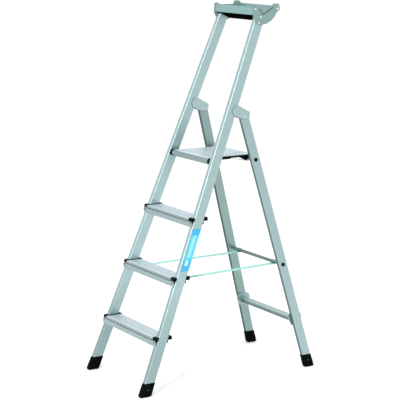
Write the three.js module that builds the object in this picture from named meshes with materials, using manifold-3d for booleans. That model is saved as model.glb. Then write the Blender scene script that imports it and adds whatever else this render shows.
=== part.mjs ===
// Folding step ladder in aluminium: two leaning front rails with three treads, a hinged platform,
// a tool tray on top, and a braced rear frame that swings in when the ladder is folded.
// Millimetres. +X is the climber's right, +Y is the way the climber faces, +Z is up.
// The origin is on the floor, in the middle of the four feet.
import * as THREE from "three";
import { mergeVertices } from "three/addons/utils/BufferGeometryUtils.js";
import Module from "manifold-3d";

const wasm = await Module();
wasm.setup();

// ---- Driving dimensions -------------------------------------------------------------------------

const GAP = 0.3; // between pieces that touch
const STEP = 228.7; // height from one standing surface to the next
const TREAD_COUNT = 3;

// Each frame has two box-section rails. width is outside to outside on the floor, taper is how far
// a rail moves inwards for each millimetre of height, and front is where it meets the floor.
const FRONT = railFrame({ lean: 21.9, width: 465, taper: 0.0594, depth: 42.4, thickness: 21.5, front: 0 });
const REAR = railFrame({ lean: -15.3, width: 455, taper: 0.0567, depth: 41.2, thickness: 17, front: 799.5 });
const RAIL_WALL = 1.8;
const RAIL_CORNER = 3;
const RAIL_END = 9; // the rails end this far over the floor, inside their feet
const FRONT_TOP = 1505;
const REAR_TOP = 1098;

const FOOT = { height: 55, wall: 2, pad: 10, flare: 3.2 };

const TREAD = {
  nose: -18, rear: 57, frontLip: 33, rearLip: 20, wall: 2.4, noseRadius: 5, lipInset: 1, lipTop: 12.3,
};
const COLLAR = { web: 3.5, front: -14, rear: 60, below: 12, above: 2, webFront: 2, webBelow: 30 };
const TREAD_RIVET = { head: 3.6, dome: 2, shank: 2.2, below: 16.5, grip: 12 };

const HINGE = { y: 525.7, z: 1079, pin: 4, head: 6.5, dome: 2.4, cheek: 2.2 };

const PLATFORM = { nose: 13, reach: 218, width: 254, noseWidth: 274, plate: 2.2, lip: 13 };
const AXLE = { y: 378, z: 4 * STEP - PLATFORM.nose, radius: 5, inRail: 8 };
const NOSE_BORE = 9;

const REST_ROD = { z: 898, radius: 7 };
const STRAP_ROD = { z: 451.7, radius: 7 };
const ROD_WALL = 1.6;
const PLUG = { head: 8.2, dome: 2, spigot: 5.1, length: 14 };

const BRACE = { z: 208, height: 27, depth: 18, wall: 1.6, plate: 3 };

const TRAY = { front: 579, rear: 702, rim: 1513, frontWall: 33, bottom: 1452, sheet: 1.8, plate: 3 };
const TRAY_SCREW = { head: 4.6, dome: 2.4, shank: 2.5 };

const STRAP = { step: 2, width: 28, thickness: 1.6, frontX: 143, rearX: 131, frontZ: 438 };
const STRAP_RIVET = { head: 3, dome: 2, shank: 1.6, above: 10 };
const LABEL = { bottom: 482, top: 646, thickness: 0.4, front: 7, rear: 1 };

// ---- Materials ----------------------------------------------------------------------------------

const paint = (color, roughness, metalness) => new THREE.MeshStandardMaterial({ color, roughness, metalness });
const ALUMINIUM = paint(0xafc8cb, 0.38, 0.85);
const DECK_ALUMINIUM = paint(0xd2d6de, 0.5, 0.7);
const STEEL = paint(0xc4cccf, 0.3, 1);
const BLACK_PLASTIC = paint(0x0d0f10, 0.6, 0);
const WEBBING = paint(0x8cdcd0, 0.9, 0);
const BLUE_FILM = paint(0x4cc8f0, 0.35, 0);

// ---- Small tools --------------------------------------------------------------------------------

function railFrame({ lean, width, taper, depth, thickness, front }) {
  const angle = THREE.MathUtils.degToRad(lean);
  return {
    taper,
    thickness,
    front,
    slope: Math.tan(angle),
    halfWidth: width / 2,
    depth: depth / Math.cos(angle), // measured level, along Y
    outer: (z) => width / 2 - taper * z,
    frontAt: (z) => front + Math.tan(angle) * z,
  };
}

// The middle of a rail's side face at height z.
const middleAt = (frame, z) => frame.frontAt(z) + frame.depth / 2;

function toSolid(geometry) {
  const bare = geometry.index ? geometry.toNonIndexed() : geometry.clone();
  bare.deleteAttribute("normal");
  bare.deleteAttribute("uv");
  const merged = mergeVertices(bare, 1e-4);
  const vertProperties = merged.attributes.position.array;
  const triVerts = new Uint32Array(merged.index.array);
  return new wasm.Manifold(new wasm.Mesh({ numProp: 3, vertProperties, triVerts }));
}

function toGeometry(solid) {
  const { vertProperties, triVerts } = solid.getMesh();
  const geometry = new THREE.BufferGeometry();
  geometry.setAttribute("position", new THREE.BufferAttribute(vertProperties, 3));
  geometry.setIndex(new THREE.BufferAttribute(triVerts, 1));
  geometry.computeVertexNormals();
  return geometry;
}

const join = (...parts) => toGeometry(parts.map(toSolid).reduce((a, b) => a.add(b)));
const cut = (base, ...tools) => toGeometry(tools.map(toSolid).reduce((a, b) => a.subtract(b), toSolid(base)));
const mirrored = (geometry) => toGeometry(toSolid(geometry).mirror([1, 0, 0]));

function shapeOf(points, holes = []) {
  const shape = new THREE.Shape(points.map(([x, y]) => new THREE.Vector2(x, y)));
  shape.holes = holes.map((hole) => new THREE.Path(hole.map(([x, y]) => new THREE.Vector2(x, y))));
  return shape;
}

// An outline in (y, z), extruded along X from x0 to x1.
function across(shape, x0, x1) {
  const geometry = new THREE.ExtrudeGeometry(shape, { depth: x1 - x0, bevelEnabled: false, curveSegments: 6 });
  const axes = [new THREE.Vector3(0, 1, 0), new THREE.Vector3(0, 0, 1), new THREE.Vector3(1, 0, 0)];
  return geometry.applyMatrix4(new THREE.Matrix4().makeBasis(...axes)).translate(x0, 0, 0);
}

// An outline in (x, y), extruded upwards from z0 to z1.
function upwards(shape, z0, z1) {
  const geometry = new THREE.ExtrudeGeometry(shape, { depth: z1 - z0, bevelEnabled: false, curveSegments: 2 });
  return geometry.translate(0, 0, z0);
}

function block(x0, x1, y0, y1, z0, z1) {
  const geometry = new THREE.BoxGeometry(x1 - x0, y1 - y0, z1 - z0);
  return geometry.translate((x0 + x1) / 2, (y0 + y1) / 2, (z0 + z1) / 2);
}

function roundedRectangle(x0, x1, y0, y1, radius) {
  const shape = new THREE.Shape();
  shape.absarc(x1 - radius, y1 - radius, radius, 0, Math.PI / 2);
  shape.absarc(x0 + radius, y1 - radius, radius, Math.PI / 2, Math.PI);
  shape.absarc(x0 + radius, y0 + radius, radius, Math.PI, 1.5 * Math.PI);
  shape.absarc(x1 - radius, y0 + radius, radius, 1.5 * Math.PI, 2 * Math.PI);
  return shape;
}

// Moves a piece drawn beside a right-hand rail, with x = 0 on the rail's outer face and y = 0 on
// its front edge, to the rail's real place: in with the taper, and along with the lean.
function leaned(geometry, frame) {
  const shear = new THREE.Matrix4().set(
    1, 0, -frame.taper, frame.halfWidth,
    0, 1, frame.slope, frame.front,
    0, 0, 1, 0,
    0, 0, 0, 1,
  );
  return geometry.applyMatrix4(shear);
}

// Moves a piece in with the taper only; its y is already real.
function tapered(geometry, frame) {
  const shear = new THREE.Matrix4().set(
    1, 0, -frame.taper, frame.halfWidth,
    0, 1, 0, 0,
    0, 0, 1, 0,
    0, 0, 0, 1,
  );
  return geometry.applyMatrix4(shear);
}

// A round piece on the X axis, from a profile of [x, radius] pairs with x going up.
function turned(profile, segments = 14) {
  const points = profile.map(([x, radius]) => new THREE.Vector2(radius, x));
  return new THREE.LatheGeometry(points, segments).rotateZ(-Math.PI / 2);
}

const rod = (x0, x1, radius, segments = 14) =>
  turned([[x0, 0], [x0, radius], [x1, radius], [x1, 0]], segments);

// A rivet or screw on the X axis: its shank ends at x = -grip and its domed head starts at x = 0.
function rivet({ head, dome, shank }, grip) {
  return turned([
    [-grip, 0], [-grip, shank], [0, shank], [0, head],
    [0.4 * dome, head], [0.85 * dome, 0.65 * head], [dome, 0],
  ], 12);
}

// The closed outline of a bent sheet that follows a line of [y, z] points, with the sheet on the
// left of the line.
function bentSheet(line, thickness) {
  const corners = line.map(([y, z]) => new THREE.Vector2(y, z));
  const normals = corners.slice(1).map((corner, i) => {
    const along = corner.clone().sub(corners[i]).normalize();
    return new THREE.Vector2(-along.y, along.x);
  });
  const offset = corners.map((corner, i) => {
    const before = normals[Math.max(i - 1, 0)];
    const after = normals[Math.min(i, normals.length - 1)];
    const mitre = before.clone().add(after).normalize();
    return corner.clone().addScaledVector(mitre, thickness / mitre.dot(before));
  });
  return new THREE.Shape([...corners, ...offset.reverse()]);
}

function add(group, name, geometry, material) {
  const mesh = new THREE.Mesh(geometry, material);
  mesh.name = name;
  group.add(mesh);
  return mesh;
}

// A right-hand piece and its mirror image on the left.
function addPair(group, name, geometry, material) {
  add(group, name + "_right", geometry, material);
  add(group, name + "_left", geometry, material).scale.x = -1;
}

// ---- Rails and feet -----------------------------------------------------------------------------

// The room a rail takes up, grown by clearance on each side.
function railRoom(frame, clearance, z0, z1) {
  const section = roundedRectangle(
    -frame.thickness - clearance, clearance, -clearance, frame.depth + clearance, RAIL_CORNER,
  );
  return leaned(upwards(section, z0, z1), frame);
}

function rail(frame, top) {
  const section = roundedRectangle(-frame.thickness, 0, 0, frame.depth, RAIL_CORNER);
  const inside = [-frame.thickness + RAIL_WALL, -RAIL_WALL, RAIL_WALL, frame.depth - RAIL_WALL];
  const [x0, x1, y0, y1] = inside;
  section.holes = [shapeOf([[x0, y0], [x0, y1], [x1, y1], [x1, y0]])];
  return leaned(upwards(section, RAIL_END, top), frame);
}

// A plastic shoe: a sleeve round the end of the rail, on a wider pad.
function foot(frame) {
  const grown = (by) => roundedRectangle(
    -frame.thickness - by, by, -by, frame.depth + by, RAIL_CORNER + 1,
  );
  const sleeve = leaned(upwards(grown(FOOT.wall), 0, FOOT.height), frame);
  const pad = leaned(upwards(grown(FOOT.flare), 0, FOOT.pad), frame);
  return cut(join(sleeve, pad), railRoom(frame, GAP, RAIL_END - GAP, FOOT.height + 1));
}

// ---- Treads -------------------------------------------------------------------------------------

const treadTop = (step) => step * STEP;

// A tread is an extrusion with a flat top, a rounded nose, a deep front lip and a shallow rear one.
// The front lip runs on over the front faces of both rails, below the collars.
function tread(step) {
  const { nose, rear, frontLip, rearLip, wall, noseRadius, lipInset, lipTop } = TREAD;
  const lip = nose + lipInset;
  const shape = new THREE.Shape();
  shape.moveTo(rear, -rearLip);
  shape.lineTo(rear, 0);
  shape.absarc(nose + noseRadius, -noseRadius, noseRadius, Math.PI / 2, Math.PI);
  shape.lineTo(lip, -lipTop);
  shape.lineTo(lip, -frontLip);
  shape.lineTo(lip + wall, -frontLip);
  shape.lineTo(lip + wall, -lipTop);
  shape.absarc(nose + noseRadius, -noseRadius, noseRadius - wall, Math.PI, Math.PI / 2, true);
  shape.lineTo(rear - wall, -wall);
  shape.lineTo(rear - wall, -rearLip);
  const z = treadTop(step);
  const reach = FRONT.outer(z) - FRONT.thickness - COLLAR.web - 2 * GAP;
  const y = FRONT.frontAt(z);
  const end = FRONT.thickness + COLLAR.web + 3;
  const wing = tapered(block(-end, -0.5, y + lip, y + lip + wall, z - frontLip, z - lipTop), FRONT);
  const bar = join(across(shape, -reach, reach).translate(0, y, z), wing, mirrored(wing));
  const room = rivetRoom(step);
  const whole = cut(bar, room, mirrored(room));
  return step === STRAP.step ? cut(whole, strapRivetRoom(1), strapRivetRoom(-1)) : whole;
}

// The plastic collar between a tread and its rail: it wraps round the front and the back of the
// rail, and a web closes the end of the tread.
function treadCollar(step) {
  const z = treadTop(step);
  const y = FRONT.frontAt(z);
  const inner = -FRONT.thickness - GAP;
  const band = block(inner - COLLAR.web, 0, y + COLLAR.front, y + COLLAR.rear, z - COLLAR.below, z + COLLAR.above);
  const web = block(
    inner - COLLAR.web, inner, y + COLLAR.webFront, y + TREAD.rear - 3, z - COLLAR.webBelow, z,
  );
  return cut(tapered(join(band, web), FRONT), railRoom(FRONT, GAP, z - 60, z + 60));
}

// Where a tread's rivet goes through its front lip, over the middle of the rail's front face.
function rivetPoint(step) {
  const z = treadTop(step) - TREAD_RIVET.below;
  const y = FRONT.frontAt(treadTop(step)) + TREAD.nose + TREAD.lipInset;
  return [FRONT.outer(z) - FRONT.thickness / 2, y - GAP, z];
}

// A rivet from the front lip of the tread into the front wall of the rail, parallel to Y.
const treadRivet = (step) => rivet(TREAD_RIVET, TREAD_RIVET.grip)
  .rotateZ(-Math.PI / 2)
  .translate(...rivetPoint(step));

const rivetRoom = (step) => rod(-TREAD_RIVET.grip - 2, 4, TREAD_RIVET.shank + GAP, 10)
  .rotateZ(-Math.PI / 2)
  .translate(...rivetPoint(step));

// ---- Hinges between the frames ------------------------------------------------------------------

// A sheet bracket: two cheeks on the sides of the front rail, joined behind it, hold the top of the
// rear leg between them.
function hingeBracket() {
  const { y, z, cheek } = HINGE;
  const outline = shapeOf([
    [y - 62, z + 22], [y - 52, z + 4], [y - 24, z - 8], [y, z - 13], [y + 16, z - 11], [y + 22, z - 4],
    [y + 24, z + 8], [y + 22, z + 16], [y - 24, z + 42], [y - 46, z + 46],
  ]);
  const outer = tapered(across(outline, GAP, GAP + cheek), FRONT);
  const inner = tapered(across(outline, -FRONT.thickness - GAP - cheek, -FRONT.thickness - GAP), FRONT);
  const back = leaned(block(
    -FRONT.thickness - GAP - cheek, GAP + cheek,
    FRONT.depth + GAP, FRONT.depth + GAP + cheek, z + 8, z + 40,
  ), FRONT);
  return cut(join(outer, inner, back), hingePinRoom());
}

const hingePinRoom = () => rod(100, 200, HINGE.pin + GAP).translate(0, HINGE.y, HINGE.z);

// A rivet with a head outside each cheek.
function hingePin() {
  const { y, z, pin, head, dome, cheek } = HINGE;
  const outside = FRONT.outer(z) + 3 * GAP + cheek;
  const inside = FRONT.outer(z) - FRONT.thickness - 3 * GAP - cheek;
  return turned([
    [inside - dome, 0], [inside - 0.85 * dome, 0.65 * head], [inside - 0.4 * dome, head],
    [inside, head], [inside, pin], [outside, pin], [outside, head],
    [outside + 0.4 * dome, head], [outside + 0.85 * dome, 0.65 * head], [outside + dome, 0],
  ]).translate(0, y, z);
}

// ---- Platform -----------------------------------------------------------------------------------

const axlePoint = (geometry) => geometry.translate(0, AXLE.y, AXLE.z);
const DECK_TOP = AXLE.z + PLATFORM.nose;
const REST_ROD_Y = middleAt(REAR, REST_ROD.z);

// An extruded deck with a round nose for the axle, two stiffening ribs and a rear lip.
function platformDeck() {
  const { nose, reach, width, noseWidth, plate, lip } = PLATFORM;
  const ribs = [70, 135].map((y) => [[y + 2, nose - plate], [y + 2, 3], [y, 3], [y, nose - plate]]);
  const profile = shapeOf([
    [0, nose], [0, nose - plate], ...ribs.flatMap((rib) => rib.reverse()),
    [reach - plate, nose - plate], [reach - plate, nose - lip], [reach, nose - lip], [reach, nose],
  ]);
  const deck = across(profile, -width / 2, width / 2);
  const tube = rod(-noseWidth / 2, noseWidth / 2, nose, 24);
  const bore = rod(-noseWidth / 2 - 1, noseWidth / 2 + 1, NOSE_BORE, 18);
  return axlePoint(cut(join(deck, tube), bore));
}

// A plastic side cap: a low rim in front, and behind it a saddle that sits on the rest rod. The
// front wall of the saddle slants, so that the rod leaves it freely as the deck lifts.
function platformSideCap() {
  const { z, radius } = REST_ROD;
  const seat = radius + GAP;
  const saddle = new THREE.Shape();
  saddle.moveTo(AXLE.y + PLATFORM.reach, z + 2);
  saddle.lineTo(AXLE.y + PLATFORM.reach, DECK_TOP - 0.5);
  saddle.lineTo(AXLE.y + 16, DECK_TOP - 0.5);
  saddle.lineTo(AXLE.y + 16, DECK_TOP - 12);
  saddle.lineTo(AXLE.y + 104, DECK_TOP - 12);
  saddle.lineTo(AXLE.y + 107, DECK_TOP - 8);
  saddle.lineTo(AXLE.y + 145, DECK_TOP - 8);
  saddle.lineTo(REST_ROD_Y - 21, z - 6);
  saddle.lineTo(REST_ROD_Y - seat - 5, z - 6);
  saddle.lineTo(REST_ROD_Y - seat - 0.3, z + 2);
  saddle.absarc(REST_ROD_Y, z, seat, 0.9 * Math.PI, 0.1 * Math.PI, true);
  return across(saddle, PLATFORM.width / 2 + GAP, PLATFORM.width / 2 + GAP + 3.6);
}

// A spring strip under the deck. It snaps under the rest rod, and bends when the deck is lifted.
function platformCatch() {
  const under = DECK_TOP - PLATFORM.plate - GAP;
  const start = AXLE.y + 75;
  const rodUnder = REST_ROD.z - REST_ROD.radius;
  const strip = bentSheet([
    [REST_ROD_Y + 15, rodUnder + 3], [REST_ROD_Y + 8, rodUnder - 3.5], [REST_ROD_Y - 8, rodUnder - 4],
    [start + 32, DECK_TOP - 10], [start + 24, under - 2], [start, under - 2],
  ], -2);
  return across(strip, PLATFORM.width / 2 - 15, PLATFORM.width / 2 - 3);
}

// A flanged bush: its spigot carries the nose of the deck, its flange keeps it off the rail.
function platformBush() {
  const deckEnd = PLATFORM.noseWidth / 2 + GAP;
  const railFace = FRONT.outer(AXLE.z + PLATFORM.nose) - FRONT.thickness - GAP;
  const spigot = deckEnd - 15;
  const bore = AXLE.radius + GAP;
  return axlePoint(turned([
    [spigot, bore], [spigot, NOSE_BORE - GAP], [deckEnd, NOSE_BORE - GAP], [deckEnd, PLATFORM.nose],
    [railFace, PLATFORM.nose], [railFace, bore], [spigot, bore],
  ], 20));
}

const axleEnd = FRONT.outer(AXLE.z) - FRONT.thickness + AXLE.inRail;
const axleRoom = () => axlePoint(rod(100, axleEnd + 1, AXLE.radius + GAP));

// ---- Tool tray ----------------------------------------------------------------------------------

// The tray's cross-section: a low front wall, a floor that falls towards the back, and a rear wall.
function toolTray() {
  const { front, rear, rim, frontWall, bottom, sheet } = TRAY;
  const trough = bentSheet([
    [rear, rim], [rear - 3, rim - 12], [rear - 16, rim - 32], [rear - 34, bottom + 10],
    [rear - 48, bottom + 1], [rear - 62, bottom], [front, rim - frontWall], [front, rim],
  ], -sheet);
  const reach = FRONT.outer(rim) - GAP;
  const room = (clearance) => railRoom(FRONT, clearance, rim - 100, rim + 30);
  const whole = across(trough, -reach, reach);
  return cut(whole, room(2 * GAP), toGeometry(toSolid(room(2 * GAP)).mirror([1, 0, 0])));
}

// Where the tray's screws go through an end plate, as [y, z].
const SCREWS = {
  front: [TRAY.front + 9, TRAY.rim - 9],
  upper: [middleAt(FRONT, 1471), 1471],
  lower: [middleAt(FRONT, 1447), 1447],
  rear: [TRAY.rear - 7, TRAY.rim - 10],
};

// A crescent plate outside the rail, with a raised tip at each end of its top edge.
function trayEnd() {
  const { front, rear, rim, bottom, plate } = TRAY;
  const outline = new THREE.Shape();
  outline.absarc(rear, rim + 6, 4, 0, Math.PI / 2);
  outline.lineTo(rear - 28, rim + 10);
  outline.lineTo(rear - 31, rim - 4);
  outline.lineTo(front + 22, rim - 4);
  outline.lineTo(front + 15, rim + 3);
  outline.absarc(front + 3, rim - 2, 5, Math.PI / 2, Math.PI);
  outline.lineTo(front - 2, rim - TRAY.frontWall - 4);
  outline.quadraticCurveTo(front + 6, bottom + 8, front + 14, bottom - 6);
  outline.absarc(front + 34, bottom + 1, 15, 1.2 * Math.PI, 1.7 * Math.PI);
  outline.quadraticCurveTo(rear - 44, bottom - 8, rear - 20, rim - 40);
  outline.lineTo(rear - 9, rim - 24);
  outline.lineTo(rear + 4, rim - 15);
  const piece = tapered(across(outline, GAP, GAP + plate), FRONT);
  const holes = Object.values(SCREWS).map(([y, z]) => rod(100, 200, TRAY_SCREW.shank + GAP, 10).translate(0, y, z));
  return cut(piece, ...holes);
}

function trayScrew([y, z]) {
  return rivet(TRAY_SCREW, TRAY.plate + GAP).translate(FRONT.outer(z) + TRAY.plate + 3 * GAP, y, z);
}

// ---- Rear frame ---------------------------------------------------------------------------------

// A tube through both rear legs, flush with their outer faces.
function crossRod({ z, radius }) {
  const reach = REAR.outer(z + radius) - GAP;
  const wall = radius - ROD_WALL;
  const tube = cut(rod(-reach, reach, radius, 16), rod(-reach - 1, reach + 1, wall, 12));
  return tube.translate(0, middleAt(REAR, z), z);
}

const crossRodRoom = ({ z, radius }) => rod(100, 260, radius + GAP, 16).translate(0, middleAt(REAR, z), z);

// A domed plug in the end of a cross rod.
function rodPlug({ z }) {
  const face = REAR.outer(z - PLUG.head) + GAP;
  return turned([
    [face - PLUG.length, 0], [face - PLUG.length, PLUG.spigot], [face, PLUG.spigot],
    [face, PLUG.head], [face + 0.6 * PLUG.dome, PLUG.head - 0.6], [face + PLUG.dome, 0],
  ]).translate(0, middleAt(REAR, z), z);
}

const BRACE_Y = middleAt(REAR, BRACE.z);
const legInside = (z) => REAR.outer(z) - REAR.thickness;

function rearBrace() {
  const { z, height, depth, wall, plate } = BRACE;
  const half = [depth / 2, height / 2];
  const section = roundedRectangle(-half[0], half[0], -half[1], half[1], 5);
  const inner = roundedRectangle(-half[0] + wall, half[0] - wall, -half[1] + wall, half[1] - wall, 3);
  section.holes = [new THREE.Path(inner.getPoints(2))];
  const reach = legInside(z + height / 2) - plate - 2 * GAP;
  return across(section, -reach, reach).translate(0, BRACE_Y, z);
}

// A flat plate on the inner face of the leg, with a tongue inside the end of the brace.
function braceBracket() {
  const { z, height, depth, wall, plate } = BRACE;
  const inner = -REAR.thickness - GAP;
  const outline = shapeOf([
    [-34, 20], [-34, 4], [-20, -22], [26, -31], [32, -25], [32, 14], [24, 28], [-24, 28],
  ]);
  const flat = tapered(across(outline, inner - plate, inner).translate(0, BRACE_Y, z), REAR);
  const face = legInside(z) - plate;
  const room = wall + GAP;
  const tongue = block(
    face - 12, face, BRACE_Y - depth / 2 + room + 2, BRACE_Y + depth / 2 - room - 2,
    z - height / 2 + room + 2, z + height / 2 - room - 2,
  );
  return join(flat, tongue);
}

// ---- Straps and label ---------------------------------------------------------------------------

const STRAP_FRONT_Y = FRONT.frontAt(treadTop(STRAP.step)) + TREAD.rear + GAP;
const STRAP_ROD_Y = middleAt(REAR, STRAP_ROD.z);

// A flat strap from the rear lip of a tread to the underside of the strap rod.
function strap() {
  const { width, thickness, frontX, rearX, frontZ } = STRAP;
  const y0 = STRAP_FRONT_Y;
  const y1 = STRAP_ROD_Y;
  const flat = upwards(shapeOf([
    [frontX - width / 2, y0], [frontX + width / 2, y0], [rearX + width / 2, y1], [rearX - width / 2, y1],
  ]), 0, thickness);
  const rise = (STRAP_ROD.z - STRAP_ROD.radius - GAP - thickness - frontZ) / (y1 - y0);
  const slant = new THREE.Matrix4().set(
    1, 0, 0, 0,
    0, 1, 0, 0,
    0, rise, 1, frontZ - rise * y0,
    0, 0, 0, 1,
  );
  return flat.applyMatrix4(slant);
}

// The rivet that holds a strap to the lip of its tread, and its hole on either side of the ladder.
const strapRivet = () => rivet(STRAP_RIVET, TREAD.wall)
  .rotateZ(Math.PI / 2)
  .translate(STRAP.frontX, STRAP_FRONT_Y, STRAP.frontZ + STRAP_RIVET.above);

const strapRivetRoom = (side) => rod(-5, 5, STRAP_RIVET.shank + GAP, 10)
  .rotateZ(Math.PI / 2)
  .translate(side * STRAP.frontX, STRAP_FRONT_Y, STRAP.frontZ + STRAP_RIVET.above);

// A film label on the outer face of the right-hand front rail.
function railLabel() {
  const { bottom, top, thickness, front, rear } = LABEL;
  return leaned(block(GAP, GAP + thickness, front, FRONT.depth - rear, bottom, top), FRONT);
}

// ---- Assembly -----------------------------------------------------------------------------------

const steps = Array.from({ length: TREAD_COUNT }, (_, i) => i + 1);

function frontFrame() {
  const group = new THREE.Group();
  const rivetRooms = steps.map((step) => rivetRoom(step));
  const screwRooms = [SCREWS.upper, SCREWS.lower].map(([y, z]) =>
    rod(FRONT.outer(z) - 4, 200, TRAY_SCREW.shank + GAP, 10).translate(0, y, z));
  addPair(group, "front_rail", cut(rail(FRONT, FRONT_TOP), axleRoom(), ...rivetRooms, ...screwRooms), ALUMINIUM);
  addPair(group, "front_foot", foot(FRONT), BLACK_PLASTIC);
  for (const step of steps) {
    add(group, "tread_" + step, tread(step), DECK_ALUMINIUM);
    addPair(group, "tread_collar_" + step, treadCollar(step), BLACK_PLASTIC);
    addPair(group, "tread_rivet_" + step, treadRivet(step), STEEL);
  }
  addPair(group, "hinge_bracket", hingeBracket(), ALUMINIUM);
  addPair(group, "hinge_pin", hingePin(), STEEL);
  add(group, "platform_axle", axlePoint(rod(-axleEnd, axleEnd, AXLE.radius)), STEEL);
  addPair(group, "platform_bush", platformBush(), BLACK_PLASTIC);
  add(group, "tool_tray", toolTray(), ALUMINIUM);
  addPair(group, "tray_end", trayEnd(), ALUMINIUM);
  for (const [place, point] of Object.entries(SCREWS))
    addPair(group, "tray_screw_" + place, trayScrew(point), STEEL);
  addPair(group, "strap", strap(), WEBBING);
  addPair(group, "strap_rivet", strapRivet(), STEEL);
  add(group, "rail_label", railLabel(), BLUE_FILM);
  return group;
}

function rearFrame() {
  const group = new THREE.Group();
  const rooms = [hingePinRoom(), crossRodRoom(REST_ROD), crossRodRoom(STRAP_ROD)];
  addPair(group, "rear_leg", cut(rail(REAR, REAR_TOP), ...rooms), ALUMINIUM);
  addPair(group, "rear_foot", foot(REAR), BLACK_PLASTIC);
  add(group, "rear_brace", rearBrace(), ALUMINIUM);
  addPair(group, "brace_bracket", braceBracket(), ALUMINIUM);
  add(group, "strap_rod", crossRod(STRAP_ROD), ALUMINIUM);
  addPair(group, "strap_rod_plug", rodPlug(STRAP_ROD), BLACK_PLASTIC);
  add(group, "rest_rod", crossRod(REST_ROD), ALUMINIUM);
  addPair(group, "rest_rod_plug", rodPlug(REST_ROD), BLACK_PLASTIC);
  return group;
}

function platform() {
  const group = new THREE.Group();
  add(group, "platform_deck", platformDeck(), DECK_ALUMINIUM);
  addPair(group, "platform_side_cap", platformSideCap(), BLACK_PLASTIC);
  addPair(group, "platform_catch", platformCatch(), STEEL);
  return group;
}

const ladder = new THREE.Group();
ladder.add(frontFrame(), rearFrame(), platform());
const footFront = FRONT.front - FOOT.flare;
const footRear = REAR.front + REAR.depth + FOOT.flare;
ladder.position.y = -(footFront + footRear) / 2;

export default ladder;
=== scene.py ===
"""Looks for the folding platform step ladder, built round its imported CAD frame.

Lengths are in millimetres, drawn with z = 0 on the floor and y = 0 at the front edge of the front
rails there. place() moves them to the row frame, which is in metres.
"""
import math

import bmesh
import bpy
from mathutils import Matrix, Vector

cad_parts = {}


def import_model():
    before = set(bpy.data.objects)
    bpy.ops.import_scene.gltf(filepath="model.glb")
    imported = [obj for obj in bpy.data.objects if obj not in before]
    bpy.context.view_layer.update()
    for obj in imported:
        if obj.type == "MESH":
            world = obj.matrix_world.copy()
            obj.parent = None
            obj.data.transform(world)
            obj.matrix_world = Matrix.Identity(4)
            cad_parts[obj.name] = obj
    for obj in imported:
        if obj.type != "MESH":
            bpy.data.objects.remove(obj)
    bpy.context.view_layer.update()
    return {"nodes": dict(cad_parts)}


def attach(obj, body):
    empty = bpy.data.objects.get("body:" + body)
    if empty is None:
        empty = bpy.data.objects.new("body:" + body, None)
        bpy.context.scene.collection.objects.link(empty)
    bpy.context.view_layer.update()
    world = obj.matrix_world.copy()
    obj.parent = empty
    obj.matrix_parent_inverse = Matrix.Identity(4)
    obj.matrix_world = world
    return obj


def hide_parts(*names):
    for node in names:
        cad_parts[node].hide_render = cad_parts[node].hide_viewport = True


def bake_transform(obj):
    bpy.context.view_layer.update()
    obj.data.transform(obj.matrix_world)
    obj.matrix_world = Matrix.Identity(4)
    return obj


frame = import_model()

# ---- Driving dimensions -------------------------------------------------------------------------

MIDDLE_Y = 421.107  # the middle of the footprint
STEP = 228.7        # from one step's top to the next
STEPS = (1, 2, 3)
GAP = 0.3           # between pieces that touch
SIDES = (("right", 1), ("left", -1))


class Rails:
    """A pair of box rails: how they lean, how they close towards the top, and their section."""

    def __init__(self, lean, width, taper, depth, thickness, front):
        self.lean = math.radians(lean)
        self.slope, self.taper = math.tan(self.lean), taper
        self.half, self.front, self.thickness = width / 2, front, thickness
        self.depth = depth / math.cos(self.lean)

    def outer(self, z):
        return self.half - self.taper * z

    def inner(self, z):
        return self.outer(z) - self.thickness

    def front_at(self, z):
        return self.front + self.slope * z

    def middle(self, z):
        return self.front_at(z) + self.depth / 2

    def leaned(self, x, y, z):
        """A point drawn with x = 0 on the rail's outer face and y = 0 on its front edge."""
        return x + self.outer(z), y + self.front_at(z), z


FRONT = Rails(lean=21.9, width=465, taper=0.0594, depth=42.4, thickness=21.5, front=0)
REAR = Rails(lean=-15.3, width=455, taper=0.0567, depth=41.2, thickness=17, front=799.5)
FRONT_TOP, REAR_TOP, RAIL_END = 1505, 1098, 9
RAIL_CORNER, RAIL_WALL = 3.4, 1.8
TREAD_NOSE, TREAD_REAR, TREAD_END = -18, 57, 4.1
LIP_FACE, LIP_BACK = 0.9, 3.4   # behind the tread's nose
LIP_TOP, LIP_BOTTOM = 12.4, 33  # below the tread's top
NOSE = 13                       # radius of the platform's round front edge
AXLE_Y, AXLE_Z = 378, 4 * STEP - NOSE
DECK_TOP = AXLE_Z + NOSE
HINGE_Y, HINGE_Z = 525.7, 1079
REST_Z, STRAP_Z, ROD_R = 898, 451.7, 7
BRACE_Z = 208
TRAY_FRONT, TRAY_REAR, TRAY_RIM = 579, 702, 1513


def place(x, y, z):
    return Vector((x / 1000, (y - MIDDLE_Y) / 1000, z / 1000))


# ---- Materials ----------------------------------------------------------------------------------

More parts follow.
